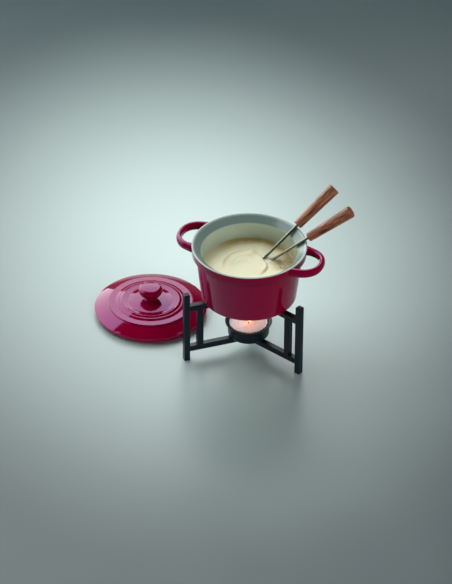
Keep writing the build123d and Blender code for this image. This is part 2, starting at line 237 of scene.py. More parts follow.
class Shader:
    """A node material, and short ways to add nodes to it. Lengths are in metres."""

    def __init__(self, name):
        self.material = bpy.data.materials.new(name)
        self.material.use_nodes = True
        self.nodes = self.material.node_tree.nodes
        self.links = self.material.node_tree.links
        self.surface = self.nodes["Principled BSDF"]
        self.place = self.nodes.new("ShaderNodeTexCoord").outputs["Object"]

    def set(self, **values):
        for key, value in values.items():
            self.surface.inputs[key.replace("_", " ")].default_value = value

    def drive(self, name, value):
        """The surface's input of that name comes from a node."""
        self.give(value, self.surface.inputs[name])

    def add(self, kind, inputs=None, **settings):
        node = self.nodes.new(kind)
        for key, value in settings.items():
            setattr(node, key, value)
        for key, value in (inputs or {}).items():
            self.give(value, node.inputs[key])
        return node

    def give(self, value, socket):
        if isinstance(value, bpy.types.NodeSocket):
            self.links.new(value, socket)
        elif isinstance(value, bpy.types.Node):
            self.links.new(value.outputs[0], socket)
        else:
            socket.default_value = value

    def noise(self, scale, detail, rough=0.5, place=None, distortion=0.0):
        """Noise with about scale blobs to the metre."""
        inputs = {"Vector": place or self.place, "Scale": scale, "Detail": detail}
        inputs.update({"Roughness": rough, "Distortion": distortion})
        return self.add("ShaderNodeTexNoise", inputs).outputs["Fac"]

    def ramp(self, value, stops):
        node = self.add("ShaderNodeValToRGB", {"Fac": value})
        while len(node.color_ramp.elements) < len(stops):
            node.color_ramp.elements.new(0.5)
        for element, (position, colour) in zip(node.color_ramp.elements, stops):
            element.position = position
            element.color = (*colour, 1)
        return node.outputs["Color"]

    def range(self, value, low, high, to_low=0.0, to_high=1.0):
        """to_low where value is low, to_high where it is high, and an ease between them."""
        return self.add(
            "ShaderNodeMapRange",
            {"Value": value, "From Min": low, "From Max": high, "To Min": to_low, "To Max": to_high},
            interpolation_type="SMOOTHSTEP",
        ).outputs[0]

    def math(self, operation, a, b=0.0):
        node = self.add("ShaderNodeMath", operation=operation)
        self.give(a, node.inputs[0])
        self.give(b, node.inputs[1])
        return node.outputs[0]

    def scaled(self, value, share):
        return self.math("MULTIPLY", value, share)

    def mix(self, amount, a, b):
        """Colour a where amount is 0, b where it is 1."""
        node = self.add("ShaderNodeMix", data_type="RGBA")
        self.give(amount, node.inputs["Factor"])
        self.give((*a, 1) if isinstance(a, tuple) else a, node.inputs[6])
        self.give((*b, 1) if isinstance(b, tuple) else b, node.inputs[7])
        return node.outputs[2]

    def bump(self, height, strength, distance, after=None):
        inputs = {"Height": height, "Strength": strength, "Distance": distance}
        if after:
            inputs["Normal"] = after
        return self.add("ShaderNodeBump", inputs).outputs[0]

    def edge(self, radius):
        """0 on flats to about 1 along edges, from how much a bevel of that radius turns the normal."""
        turned = self.add("ShaderNodeBevel", {"Radius": radius}, samples=4).outputs[0]
        flat = self.add("ShaderNodeNewGeometry").outputs["Normal"]
        both = self.add("ShaderNodeVectorMath", {0: turned, 1: flat}, operation="DOT_PRODUCT")
        return self.range(both.outputs["Value"], FLAT_DOT, EDGE_DOT)

    def height(self):
        return self.add("ShaderNodeSeparateXYZ", {0: self.place}).outputs["Z"]

    def flat_length(self, place):
        """Distance from the vertical axis through the origin of place."""
        flat = self.add("ShaderNodeVectorMath", {0: place, 1: (1, 1, 0)}, operation="MULTIPLY").outputs[0]
        return self.add("ShaderNodeVectorMath", {0: flat}, operation="LENGTH").outputs["Value"]

    def radius(self, x, y):
        """Distance from the vertical axis through x, y in mm."""
        axis = (x * MM, y * MM, 0)
        moved = self.add("ShaderNodeVectorMath", {0: self.place, 1: axis}, operation="SUBTRACT")
        return self.flat_length(moved.outputs[0])

    def aligned(self, along):
        """Places turned so that the direction along becomes Z."""
        turn = Vector((0, 0, 1)).rotation_difference(along).inverted().to_euler()
        return self.add("ShaderNodeMapping", {"Vector": self.place, "Rotation": tuple(turn)}).outputs[0]


def srgb(*colour):
    """A screen colour, 0 to 255, as linear light."""
    shares = [v / 255 for v in colour]
    return tuple(v / 12.92 if v <= 0.04045 else ((v + 0.055) / 1.055) ** 2.4 for v in shares)


# ---------------------------------------------------------------- camera

CAMERA_AT = Vector((497.2, -2577.1, 1910.5)) * MM
CAMERA_RIGHT = Vector((0.98229, 0.18738, 0))
CAMERA_UP = Vector((-0.10842, 0.56834, 0.81562))
CAMERA_ROLL = 0.0051
CAMERA_LENS = 197.26
SENSOR_WIDTH = 36
CAMERA_REACH = 30

cam_data = bpy.data.cameras.new("camera")
cam_data.lens = CAMERA_LENS
cam_data.sensor_width = SENSOR_WIDTH
cam_data.clip_end = CAMERA_REACH
camera = bpy.data.objects.new("camera", cam_data)
bpy.context.scene.collection.objects.link(camera)
right = CAMERA_RIGHT * math.cos(CAMERA_ROLL) + CAMERA_UP * math.sin(CAMERA_ROLL)
up = CAMERA_UP * math.cos(CAMERA_ROLL) - CAMERA_RIGHT * math.sin(CAMERA_ROLL)
back = right.cross(up)
camera.matrix_world = Matrix.Translation(CAMERA_AT) @ Matrix((right, up, back)).transposed().to_4x4()
bpy.context.scene.camera = camera

# ---------------------------------------------------------------- places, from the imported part

cup_low, cup_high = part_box("burner_cup")
AXIS_X = (cup_low.x + cup_high.x) / 2 / MM
AXIS_Y = (cup_low.y + cup_high.y) / 2 / MM
lid_low, lid_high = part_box("lid_shell")
LID_X = (lid_low.x + lid_high.x) / 2 / MM
LID_Y = (lid_low.y + lid_high.y) / 2 / MM
pot_low, pot_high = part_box("pot_shell")
POT_BASE = pot_low.z / MM
POT_RIM = pot_high.z / MM
RIM_RADIUS = (pot_high.x - pot_low.x) / 2 / MM
WAX_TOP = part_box("tealight_wax")[1].z / MM

# ---------------------------------------------------------------- materials

# Heights of the glaze's bands, mm under the pot's rim: a darker line of painted shade under the collar, and,
# inside, the flare greyed with painted shade and the lip paled with a painted highlight.
COLLAR_SHADE_BAND = (13.6, 11.3, 9.0, 8.3)
FLARE_SHADE_BAND = (6.9, 5.4)
LIP_HIGHLIGHT_BAND = (1.3, 0.6)
GLOSS_TINT = (0.72, 0.4, 1.0, 1.0)
SHEEN_TINT = (0.9, 0.2, 0.75, 1.0)

# How far apart the two handles' grain is taken from the noise.
GRAIN_STEP = 3.7

# The melted wax round the wick, the flame's light painted on it as a glow, and how far light goes into
# wax and cheese, metres.
MELT_AND_GLOW_EDGE = (0.009, 0.014)
PAINTED_GLOW_EDGE = (0.001, 0.016)
PAINTED_GLOW_STRENGTH = (0.3, 0.17)
PAINTED_GLOW_COLOUR = (1.0, 0.55, 0.45, 1.0)
WAX_DEPTH = (0.004, 0.002, 0.0015)
CHEESE_DEPTH = (0.004, 0.0028, 0.0012)

# Heights above the wax, mm.
BURNT_LENGTH = 2.5
FLAME_SPAN = (2.0, 8.0)
FLAME_GLOW = 4.0

# The tan band of painted shade cast by the wall on the cheese grows over these radii towards the wall, in
# metres, and over this many mm towards the far side. Next, the middle of the browned patch where the forks
# went in, which also holds their painted shadow, mm from the pot's axis.
WALL_SHADE_RADII = (0.032, 0.045)
WALL_SHADE_SPREAD = 30
WALL_SHADE_HEADING = (0.5, 0.87, 0)
WALL_SHADE_START = WALL_SHADE_HEADING[0] * AXIS_X + WALL_SHADE_HEADING[1] * AXIS_Y - 5
BROWNED_AND_SHADOWED = (33.0, 9.0)
BROWN_AND_SHADOW_RADII = (0.017, 0.007)

# Painted light on the table: its bright middle is a painted pool of light in an ellipse; painted shade
# darkens it to its edge, and turns it mid grey further out.
LIGHT_POOL_CENTRE = (-0.05, 0.122, 0)
LIGHT_POOL_TURN = 0.317
LIGHT_POOL_SIZE = (0.36, 0.53, 1)
FAR_SHADE_START = 1.9
FAR_SHADE_END = 3.0
TABLE_PALE = ((0.675, 0.82, 0.785), (0.7, 0.845, 0.81))
TABLE_EDGE_SHADE = (0.045, 0.075, 0.08)
TABLE_FAR_SHADE = (0.34, 0.4, 0.39)


def black_metal():
    """Satin black paint, a little worn and paler along its edges."""
    s = Shader("black_satin_paint")
    cloud = s.noise(55, 4)
    fine = s.noise(900, 2)
    wear = s.range(s.noise(160, 3), 0.35, 0.7, 0.1, 0.45)
    edge = s.math("MULTIPLY", s.edge(0.0007), wear)
    base = s.mix(cloud, srgb(6, 18, 30), srgb(11, 26, 40))
    s.drive("Base Color", s.mix(edge, base, srgb(78, 88, 98)))
    s.drive("Roughness", s.range(cloud, 0.2, 0.8, 0.32, 0.42))
    s.drive("Normal", s.bump(fine, 0.22, 0.00006, s.bump(s.noise(260, 2), 0.15, 0.0001)))
    s.set(Specular_IOR_Level=0.35)
    return s.material


def crimson_glaze():
    """Crimson under a faintly lilac gloss, darker along sharp edges, with a band of painted shade under the
    collar.
    """
    s = Shader("crimson_glaze")
    cloud = s.noise(30, 4, 0.55)
    specks = s.range(s.noise(1500, 1), 0.7, 0.78)
    base = s.mix(cloud, srgb(139, 0, 42), srgb(151, 0, 52))
    base = s.mix(s.scaled(specks, 0.22), base, srgb(90, 0, 22))
    base = s.mix(s.scaled(s.edge(0.0009), 0.45), base, srgb(108, 0, 34))
    height = s.height()
    # Painted shade: a darker band just under the collar's overhang.
    start, full, fading, end = [(POT_RIM - depth) * MM for depth in COLLAR_SHADE_BAND]
    collar_shade = s.math("MULTIPLY", s.range(height, start, full), s.range(height, end, fading))
    base = s.mix(s.scaled(collar_shade, 0.6), base, srgb(72, 0, 24))
    s.drive("Base Color", base)
    s.drive("Roughness", s.range(s.noise(120, 3), 0.3, 0.7, 0.04, 0.075))
    waves = s.bump(s.noise(26, 1), 0.03, 0.0008, s.bump(s.noise(340, 2), 0.03, 0.00006))
    s.drive("Normal", waves)
    s.set(IOR=1.62, Specular_Tint=GLOSS_TINT)
    s.set(Sheen_Weight=0.1, Sheen_Roughness=0.3, Sheen_Tint=SHEEN_TINT)
    return s.material


def pale_glaze():
    """Green-grey glaze with fine specks, greyed by painted shade on the flared seat and paler with a painted
    highlight at the rim.
    """
    s = Shader("pale_green_grey_glaze")
    cloud = s.noise(45, 4, 0.55)
    height = s.height()
    # Painted shade greys the flare and a painted highlight pales the lip, by height.
    shaded_flare, highlit_lip = [s.range(height, *[(POT_RIM - depth) * MM for depth in band]) for band in (FLARE_SHADE_BAND, LIP_HIGHLIGHT_BAND)]
    base = s.mix(cloud, srgb(184, 197, 178), srgb(198, 210, 192))
    base = s.mix(shaded_flare, base, s.mix(cloud, srgb(118, 138, 134), srgb(130, 150, 145)))
    base = s.mix(highlit_lip, base, srgb(166, 178, 171))
    specks = s.range(s.noise(900, 1), 0.72, 0.8)
    base = s.mix(s.scaled(specks, 0.3), base, srgb(116, 128, 118))
    s.drive("Base Color", base)
    s.drive("Roughness", s.range(s.noise(130, 3), 0.3, 0.7, 0.16, 0.24))
    s.drive("Normal", s.bump(s.noise(90, 2), 0.06, 0.0003))
    s.set(IOR=1.55)
    return s.material


def bare_clay():
    """Gritty unglazed clay, under the pot's foot ring."""
    s = Shader("unglazed_clay")
    grit = s.noise(1800, 3, 0.6)
    s.drive("Base Color", s.mix(grit, srgb(176, 160, 140), srgb(206, 192, 172)))
    s.drive("Normal", s.bump(grit, 0.4, 0.0001))
    s.set(Roughness=0.85)
    return s.material


def steel(name, along):
    """Steel with fine turning marks round the given direction."""
    s = Shader(name)
    straight = s.aligned(along)
    ringed = s.add("ShaderNodeMapping", {"Vector": straight, "Scale": (0.15, 0.15, 1)}).outputs[0]
    marks = s.noise(2600, 3, 0.6, ringed)
    cloud = s.noise(220, 3)
    s.drive("Base Color", s.mix(marks, srgb(104, 104, 92), srgb(160, 159, 146)))
    s.drive("Roughness", s.range(cloud, 0.3, 0.7, 0.2, 0.34))
    s.drive("Normal", s.bump(marks, 0.3, 0.00005))
    s.set(Metallic=1.0)
    return s.material


def wood(name, along, seed):
    """Reddish hardwood with its grain running along the given direction."""
    s = Shader(name)
    straight = s.aligned(along)
    slow = s.add("ShaderNodeMapping", {"Vector": straight, "Scale": (1, 1, 0.12), "Location": (seed, 0, 0)})
    fibre = s.add("ShaderNodeMapping", {"Vector": straight, "Scale": (1, 1, 0.03), "Location": (0, seed, 0)})
    bands = s.noise(330, 4, 0.62, slow.outputs[0], 0.9)
    lines = s.noise(1300, 4, 0.65, fibre.outputs[0])
    pores = s.range(s.noise(2400, 2, 0.5, fibre.outputs[0]), 0.6, 0.7)
    base = s.ramp(
        bands,
        [
            (0.35, srgb(74, 37, 24)),
            (0.42, srgb(136, 76, 50)),
            (0.54, srgb(180, 112, 80)),
            (0.66, srgb(208, 146, 110)),
        ],
    )
    base = s.mix(s.range(lines, 0.35, 0.6, 0.5, 0.0), base, srgb(80, 40, 28))
    base = s.mix(s.scaled(pores, 0.6), base, srgb(38, 20, 14))
    s.drive("Base Color", base)
    s.drive("Roughness", s.range(lines, 0.3, 0.7, 0.5, 0.38))
    s.drive("Normal", s.bump(lines, 0.4, 0.00012, s.bump(pores, 0.35, 0.0001)))
    s.set(Coat_Weight=0.15, Coat_Roughness=0.3)
    return s.material


def aluminium():
    """Bright thin sheet, slightly cloudy."""
    s = Shader("thin_aluminium")
    cloud = s.noise(600, 3)
    s.drive("Base Color", s.mix(cloud, srgb(190, 190, 190), srgb(222, 222, 220)))
    s.drive("Roughness", s.range(cloud, 0.3, 0.7, 0.2, 0.36))
    s.drive("Normal", s.bump(s.noise(300, 2), 0.3, 0.0001))
    s.set(Metallic=1.0)
    return s.material


def candle_wax():
    """Pale pink wax, shinier where melted round the wick, with painted flame light there, warmer and glowing.
    """
    s = Shader("pink_wax")
    near = s.radius(AXIS_X, AXIS_Y)
    melt_and_glow = s.range(s.math("ADD", near, s.scaled(s.noise(220, 3), 0.004)), *MELT_AND_GLOW_EDGE)
    # Painted light: the warmer colour round the wick is the flame's light, and the pink is partly painted red
    # light from the pot.
    base = s.mix(melt_and_glow, srgb(250, 204, 190), srgb(251, 224, 220))
    s.drive("Base Color", base)
    s.drive("Roughness", s.math("ADD", s.scaled(melt_and_glow, 0.22), 0.08))
    s.drive("Normal", s.bump(s.noise(260, 3), 0.12, 0.0003))
    # Painted glow: the flame's light on the wax, given as emission.
    s.drive("Emission Strength", s.range(near, *PAINTED_GLOW_EDGE, *PAINTED_GLOW_STRENGTH))
    s.set(Emission_Color=PAINTED_GLOW_COLOUR)
    s.set(Subsurface_Weight=0.5, Subsurface_Radius=WAX_DEPTH, Subsurface_Scale=1.0)
    return s.material


def wick_cotton():
    """Cotton that is burnt black from the wax up."""
    s = Shader("burnt_wick")
    burnt = s.range(s.height(), WAX_TOP * MM, (WAX_TOP + BURNT_LENGTH) * MM)
    s.drive("Base Color", s.mix(burnt, srgb(190, 160, 130), srgb(24, 18, 15)))
    s.drive("Normal", s.bump(s.noise(2500, 3), 0.6, 0.0002))
    s.set(Roughness=0.9)
    return s.material


def flame_light():
    """Orange at the foot and yellow at the tip."""
    s = Shader("small_flame")
    share = s.range(s.height(), *[(WAX_TOP + height) * MM for height in FLAME_SPAN])
    colour = s.ramp(share, [(0.0, (0.9, 0.25, 0.06)), (0.4, (1.0, 0.5, 0.14)), (1.0, (1.0, 0.72, 0.36))])
    s.drive("Emission Color", colour)
    s.drive("Alpha", s.range(s.noise(300, 2), 0.3, 0.7, 0.75, 0.9))
    s.set(Base_Color=(0.9, 0.5, 0.2, 1.0), Emission_Strength=FLAME_GLOW)
    s.set(Roughness=1.0, Specular_IOR_Level=0.0)
    return s.material


def cheese():
    """Cream, with painted wall shade as a tan band near the wall, and a browner patch to the right where the
    forks went in.
    """
    s = Shader("melted_cheese")
    cloud = s.noise(60, 5, 0.6)
    base = s.mix(cloud, srgb(240, 230, 188), srgb(250, 242, 208))
    wobble = s.scaled(s.math("SUBTRACT", s.noise(90, 4, 0.6), 0.5), 0.014)
    # Painted shade: the wall's shade on the cheese, a tan band near it, strongest towards the far side.
    far = s.add("ShaderNodeVectorMath", {0: s.place, 1: WALL_SHADE_HEADING}, operation="DOT_PRODUCT")
    behind = s.range(far.outputs["Value"], WALL_SHADE_START * MM, (WALL_SHADE_START + WALL_SHADE_SPREAD) * MM, 0.25, 1.0)
    wall_shade = s.range(s.math("ADD", s.radius(AXIS_X, AXIS_Y), wobble), *WALL_SHADE_RADII)
    base = s.mix(s.math("MULTIPLY", wall_shade, behind), base, srgb(190, 162, 92))
    # Partly browned cheese and partly the forks' painted shadow, in a patch to the right.
    brown_and_shadow = s.radius(AXIS_X + BROWNED_AND_SHADOWED[0], AXIS_Y + BROWNED_AND_SHADOWED[1])
    brown_and_shadow = s.range(s.math("ADD", brown_and_shadow, s.scaled(wobble, 1.2)), *BROWN_AND_SHADOW_RADII)
    freckle = s.range(s.noise(170, 3, 0.5), 0.35, 0.65, 0.55, 0.9)
    base = s.mix(s.math("MULTIPLY", brown_and_shadow, freckle), base, srgb(164, 140, 88))
    s.drive("Base Color", base)
    s.drive("Roughness", s.range(s.noise(180, 3), 0.3, 0.7, 0.28, 0.42))
    s.drive("Normal", s.bump(s.noise(420, 3), 0.1, 0.0003))
    s.set(Subsurface_Weight=0.3, Subsurface_Radius=CHEESE_DEPTH, Subsurface_Scale=1.0)
    return s.material


def table_top():
    """Pale blue-green table with a painted pool of light in an ellipse behind the set, and painted shade
    round it.
    """
    s = Shader("pale_table_painted_light")
    cloud = s.noise(7, 4)
    ellipse = {"Location": LIGHT_POOL_CENTRE, "Rotation": (0, 0, LIGHT_POOL_TURN), "Scale": LIGHT_POOL_SIZE}
    ellipse["Vector"] = s.place
    distance = s.flat_length(s.add("ShaderNodeMapping", ellipse, vector_type="TEXTURE").outputs[0])
    # Painted light: the pale pool fades into painted shade at its edge, then painted mid-grey shade further
    # out.
    near = s.mix(s.range(distance, 0.0, 1.0), s.mix(cloud, *TABLE_PALE), TABLE_EDGE_SHADE)
    s.drive("Base Color", s.mix(s.range(distance, FAR_SHADE_START, FAR_SHADE_END), near, TABLE_FAR_SHADE))
    s.drive("Roughness", s.range(cloud, 0.3, 0.7, 0.3, 0.34))
    s.set(Specular_IOR_Level=0.45)
    return s.material


BLACK = black_metal()
CRIMSON = crimson_glaze()
PALE = pale_glaze()
CLAY = bare_clay()
ALUMINIUM = aluminium()
WAX = candle_wax()
WICK = wick_cotton()
FLAME = flame_light()
CHEESE = cheese()


def dress(name, material):
    """A carried-over CAD node gets a material in each of its slots."""
    obj = nodes[name]
    if not obj.material_slots:
        obj.data.materials.append(material)
    for slot in obj.material_slots:
        slot.material = material


for name in nodes:
    if name.startswith(("outer_post", "inner_post", "upper_rail", "lower_rail", "burner_cup")):
        dress(name, BLACK)
for fork in ("1", "2"):
    axis = next(j for j in frame["joints"] if j["child"] == "fork_" + fork)["axis"]
    along = Vector(axis).normalized()
    dress("fork_" + fork + "_shaft", steel("turned_steel_" + fork, along))
    dress("fork_" + fork + "_handle", wood("red_hardwood_" + fork, along, GRAIN_STEP * int(fork)))

# ---------------------------------------------------------------- pot

# Radii and heights of the outline, mm. The third number of each corner is its rounding.
BODY_FOOT = 47.3
BODY_TOP = 53.0
COLLAR_RADIUS = RIM_RADIUS - 0.2
COLLAR_BOTTOM = POT_RIM - 8.2
BODY_END = COLLAR_BOTTOM - 1.8
GLAZE_CHANGE = POT_RIM - 0.7
RIM_LIP = 1.6
SEAT_RADIUS = 48.6
SEAT_HEIGHT = POT_RIM - 5.5
LEDGE_RADIUS = 47.6
LEDGE_HEIGHT = SEAT_HEIGHT - 1.2
FLOOR_RADIUS = 43.0
POT_FLOOR = 71.5
FOOT_RING_OUTER = 44.4
FOOT_RING_INNER = 41.0
FOOT_ROUNDING = 0.4
FOOT_SLOPE = 1.6
RECESS_HEIGHT = POT_BASE + 0.9

underside = rounded(
    [
        (0, RECESS_HEIGHT, 0),
        (FOOT_RING_INNER - FOOT_SLOPE, RECESS_HEIGHT, 0.6),
        (FOOT_RING_INNER - FOOT_ROUNDING, POT_BASE, 0.3),
        (FOOT_RING_INNER, POT_BASE, 0),
    ]
)
foot_ring = subdivided([(FOOT_RING_INNER, POT_BASE), (FOOT_RING_OUTER, POT_BASE)], 1)
outside = rounded(
    [
        (FOOT_RING_OUTER, POT_BASE, 0),
        (BODY_FOOT, POT_BASE, 2.6),
        (BODY_TOP, BODY_END, 0.9),
        (COLLAR_RADIUS, COLLAR_BOTTOM, 0.9),
        (RIM_RADIUS, GLAZE_CHANGE, 0),
    ],
    10,
)
inside = rounded(
    [
        (RIM_RADIUS, GLAZE_CHANGE, 0),
        (RIM_RADIUS, POT_RIM, 0.68),
        (RIM_RADIUS - RIM_LIP, POT_RIM, 0.7),
        (SEAT_RADIUS, SEAT_HEIGHT, 1.2),
        (LEDGE_RADIUS, LEDGE_HEIGHT, 1.4),
        (FLOOR_RADIUS, POT_FLOOR, 8),
        (0, POT_FLOOR, 0),
    ],
    10,
)
pot = lathe(
    "pot_glazed_shell",
    [
        (subdivided(underside, 4), CRIMSON),
        (foot_ring, CLAY),
        (subdivided(outside, 3), CRIMSON),
        (subdivided(inside, 3), PALE),
    ],
    (AXIS_X, AXIS_Y),
    "pot",
)
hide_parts("pot_shell")

# ---------------------------------------------------------------- ear handles

# Each ear's heading in degrees, and how far its end is from the pot's axis, mm.
EARS = {"right": (-12.2, 75.6), "left": (167.8, 73.4)}
EAR_HEIGHT = 118.9
EAR_ROOT = 52.0
EAR_HALF = 20.1
EAR_POWER = 2.3
EAR_WIDE = 5.4
EAR_TALL = 8.8
FLARE_WIDE = 3.4
FLARE_TALL = 0.7
SECTION_POWER = 2.25
SECTION_POINTS = 28
EAR_STEPS = 240
EAR_RINGS = 72
SLOW_FLARE = 0.35


def ear_section(share):
    """Rounded bar, flaring into the collar over its last few millimetres."""
    near = abs(2 * share - 1)
    swell = SLOW_FLARE * near**2 + (1 - SLOW_FLARE) * smooth(0.8, 1.0, near)
    wide = EAR_WIDE + FLARE_WIDE * swell
    tall = EAR_TALL + FLARE_TALL * swell
    return superellipse(wide / 2, tall / 2, SECTION_POWER, SECTION_POINTS)


for side, (heading, reach) in EARS.items():
    out = Vector((math.cos(math.radians(heading)), math.sin(math.radians(heading)), 0))
    across = Vector((-out.y, out.x, 0))
    root = Vector((AXIS_X, AXIS_Y, EAR_HEIGHT)) + out * EAR_ROOT
    points = []
    for k in range(EAR_STEPS + 1):
        a = math.pi * (k / EAR_STEPS - 0.5)
        u = (reach - EAR_ROOT) * abs(math.cos(a)) ** (2 / EAR_POWER)
        v = math.copysign(EAR_HALF * abs(math.sin(a)) ** (2 / EAR_POWER), a)
        points.append(root + out * u + across * v)
    middle = evenly(points, EAR_RINGS)
    ear = swept("ear_handle_" + side, middle, ear_section, (0, 0, 1), "pot", CRIMSON)
    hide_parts("pot_handle_" + side)

# ---------------------------------------------------------------- lid and its knob

LID_RADIUS = (lid_high.x - lid_low.x) / 2 / MM
SHOULDER = (43.4, 11.9)
SKIRT_END = (LID_RADIUS, 6.4)
SKIRT_CURVE = 110.0
LOCATOR_OUTER = 47.0
LOCATOR_INNER = 43.0
EDGE_RADIUS = LID_RADIUS - 0.3
EDGE_BOTTOM = 1.7
ROOF_RADIUS = 37.0
ROOF_HEIGHT = 10.0
LID_STEPS = 8

# From the domed middle out over a groove, a raised ring and two steps down to the skirt.
top = rounded(
    [
        (0, 16.5, 0),
        (9, 16.35, 30),
        (17.0, 15.8, 20),
        (22.9, 14.72, 1.0),
        (23.6, 14.72, 1.0),
        (24.8, 14.92, 1.0),
        (27.2, 14.98, 1.5),
        (28.6, 15.25, 1.2),
        (29.2, 15.25, 1.2),
        (31.9, 14.3, 1.2),
        (32.8, 14.3, 1.2),
        (36.0, 13.22, 1.5),
        (42.8, 13.12, 0.7),
        (*SHOULDER, 0),
    ],
    LID_STEPS,
)
skirt = arc(SHOULDER, SKIRT_END, SKIRT_CURVE, 22)
edge = rounded([(*SKIRT_END, 0), (EDGE_RADIUS, EDGE_BOTTOM, 0.9), (LOCATOR_OUTER, EDGE_BOTTOM, 0)], LID_STEPS)
below = rounded(
    [
        (LOCATOR_OUTER, EDGE_BOTTOM, 0),
        (LOCATOR_OUTER, 0, 0.6),
        (LOCATOR_INNER, 0, 0.6),
        (ROOF_RADIUS, ROOF_HEIGHT, 3),
        (0, ROOF_HEIGHT, 0),
    ],
    LID_STEPS,
)
lid = lathe(
    "lid_glazed_shell",
    [(subdivided(top, 3) + skirt[1:] + edge[1:], CRIMSON), (subdivided(below, 3), PALE)],
    (LID_X, LID_Y),
    "lid",
)
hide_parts("lid_shell")

KNOB_RADIUS = 12.3
KNOB_WIDEST = 27.3
NECK_RADIUS = 5.9
CAP_BOTTOM = 20.6
CAP_SHOULDER = 8.2
CAP_TOP = 31.5
CAP_CROWN = 0.7
CAP_FULLNESS = 0.9
CAP_STEPS = 24
CROWN_STEPS = 12
KNOB_FOOT = [(0, 14.4, 0), (10.2, 14.6, 0), (7.0, 15.9, 2.2)]
KNOB_NECK = [(NECK_RADIUS, 18.0, 2.5), (NECK_RADIUS, CAP_BOTTOM, 0)]

knob_line = rounded(KNOB_FOOT + KNOB_NECK, LID_STEPS)
for k in range(1, CAP_STEPS + 1):
    a = math.pi / 2 * (k / CAP_STEPS - 1)
    r = NECK_RADIUS + (KNOB_RADIUS - NECK_RADIUS) * abs(math.cos(a)) ** CAP_FULLNESS
    knob_line.append((r, KNOB_WIDEST + (KNOB_WIDEST - CAP_BOTTOM) * math.sin(a)))
for k in range(1, CAP_STEPS + 1):
    a = math.pi / 2 * k / CAP_STEPS
    r = CAP_SHOULDER + (KNOB_RADIUS - CAP_SHOULDER) * math.cos(a)
    knob_line.append((r, KNOB_WIDEST + (CAP_TOP - CAP_CROWN - KNOB_WIDEST) * math.sin(a)))
for k in range(CROWN_STEPS - 1, -1, -1):
    r = CAP_SHOULDER * k / CROWN_STEPS
    knob_line.append((r, CAP_TOP - CAP_CROWN * (r / CAP_SHOULDER) ** 2))
knob = lathe("lid_round_knob", [(knob_line, CRIMSON)], (LID_X, LID_Y), "lid", 96)
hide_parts("lid_knob")

# ---------------------------------------------------------------- tealight

tea_low, tea_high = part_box("tealight_cup")
TEA_BOTTOM = tea_low.z / MM
TEA_TOP = tea_high.z / MM
TEA_RADIUS = (tea_high.x - tea_low.x) / 2 / MM
TEA_WALL = TEA_RADIUS - 0.2
ROLL_BOTTOM = TEA_TOP - 0.7
ROLL_STEP = TEA_TOP - 0.6
SHEET = 0.35
INNER_WALL = TEA_WALL - SHEET
FLUTES = 60
FLUTE_DEPTH = 0.12
FLUTE_WALL = (TEA_WALL - 1.4, TEA_WALL - 0.6)
FLUTE_SPAN = (TEA_BOTTOM + 1, TEA_BOTTOM + 3, TEA_TOP - 2.2, TEA_TOP - 1.2)
CENTRE = (AXIS_X, AXIS_Y)


def flutes(a, r, z):
    """Pressed flutes round the tealight's wall, fading out at its base and rolled edge."""
    depth = FLUTE_DEPTH * smooth(*FLUTE_WALL, r) * between(*FLUTE_SPAN, z)
    return depth * (math.cos(FLUTES * a) - 1), 0


cup_out = rounded(
    [
        (0, TEA_BOTTOM, 0),
        (TEA_WALL, TEA_BOTTOM, 2),
        (TEA_WALL, ROLL_BOTTOM, 0.2),
        (TEA_RADIUS, ROLL_STEP, 0.15),
        (TEA_RADIUS, TEA_TOP, 0.25),
        (INNER_WALL, TEA_TOP, 0.15),
        (INNER_WALL, TEA_BOTTOM + SHEET, 1.6),
        (0, TEA_BOTTOM + SHEET, 0),
    ]
)
cup_parts = [(subdivided(cup_out, 1.2), ALUMINIUM)]
tea_cup = lathe("tealight_fluted_cup", cup_parts, CENTRE, "tealight", 360, flutes)
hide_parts("tealight_cup")

# The wax dips in the middle and climbs a little up the cup.
WAX_EDGE = INNER_WALL - 0.02
WAX_DIP = 0.35
WAX_CLIMB = 0.45
WAX_HIGHEST = 0.4
WAX_BASIN = (8, 15)
WAX_RISE = (16.4, 18.6)
WAX_FOOT = TEA_BOTTOM + 0.5
WAX_STEPS = 24
WAX_WAVE = 0.12
WAVE_RATE = 0.14

wax_line = [(0, WAX_TOP - WAX_DIP)]
for k in range(1, WAX_STEPS + 1):
    r = WAX_EDGE * k / WAX_STEPS
    dish = WAX_DIP * (smooth(*WAX_BASIN, r) - 1) + WAX_CLIMB * smooth(*WAX_RISE, r) ** 2
    wax_line.append((r, WAX_TOP + min(dish, WAX_HIGHEST)))
wax_line += [(WAX_EDGE, TEA_BOTTOM + 2.4), (TEA_WALL - 1.8, WAX_FOOT), (0, WAX_FOOT)]


def uneven(a, r, z):
    """Slight waves in the wax's surface."""
    if z < WAX_TOP - 1:
        return 0, 0
    return 0, WAX_WAVE * noise.noise(Vector((r * math.cos(a) * WAVE_RATE, r * math.sin(a) * WAVE_RATE, 4)))


wax = lathe("tealight_wax_fill", [(wax_line, WAX)], CENTRE, "tealight", 120, uneven)
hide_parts("tealight_wax")

WICK_FOOT = TEA_BOTTOM + 4
WICK_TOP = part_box("tealight_wick")[1].z / MM
WICK_BEND = 1.3
WICK_RADIUS = 0.72
TIP_TAPER = 0.3
STRANDS = 3
STRAND_RELIEF = 0.18
WICK_TWIST = 16
WICK_STEPS = 21
BRAID_POINTS = 24

wick_path = []
for k in range(WICK_STEPS + 1):
    share = k / WICK_STEPS
    bend = WICK_BEND * smooth(0.6, 1, share) ** 1.5
    height = WICK_FOOT + (WICK_TOP - WICK_FOOT) * share
    wick_path.append(Vector((AXIS_X + bend, AXIS_Y - 0.2 * bend, height)))


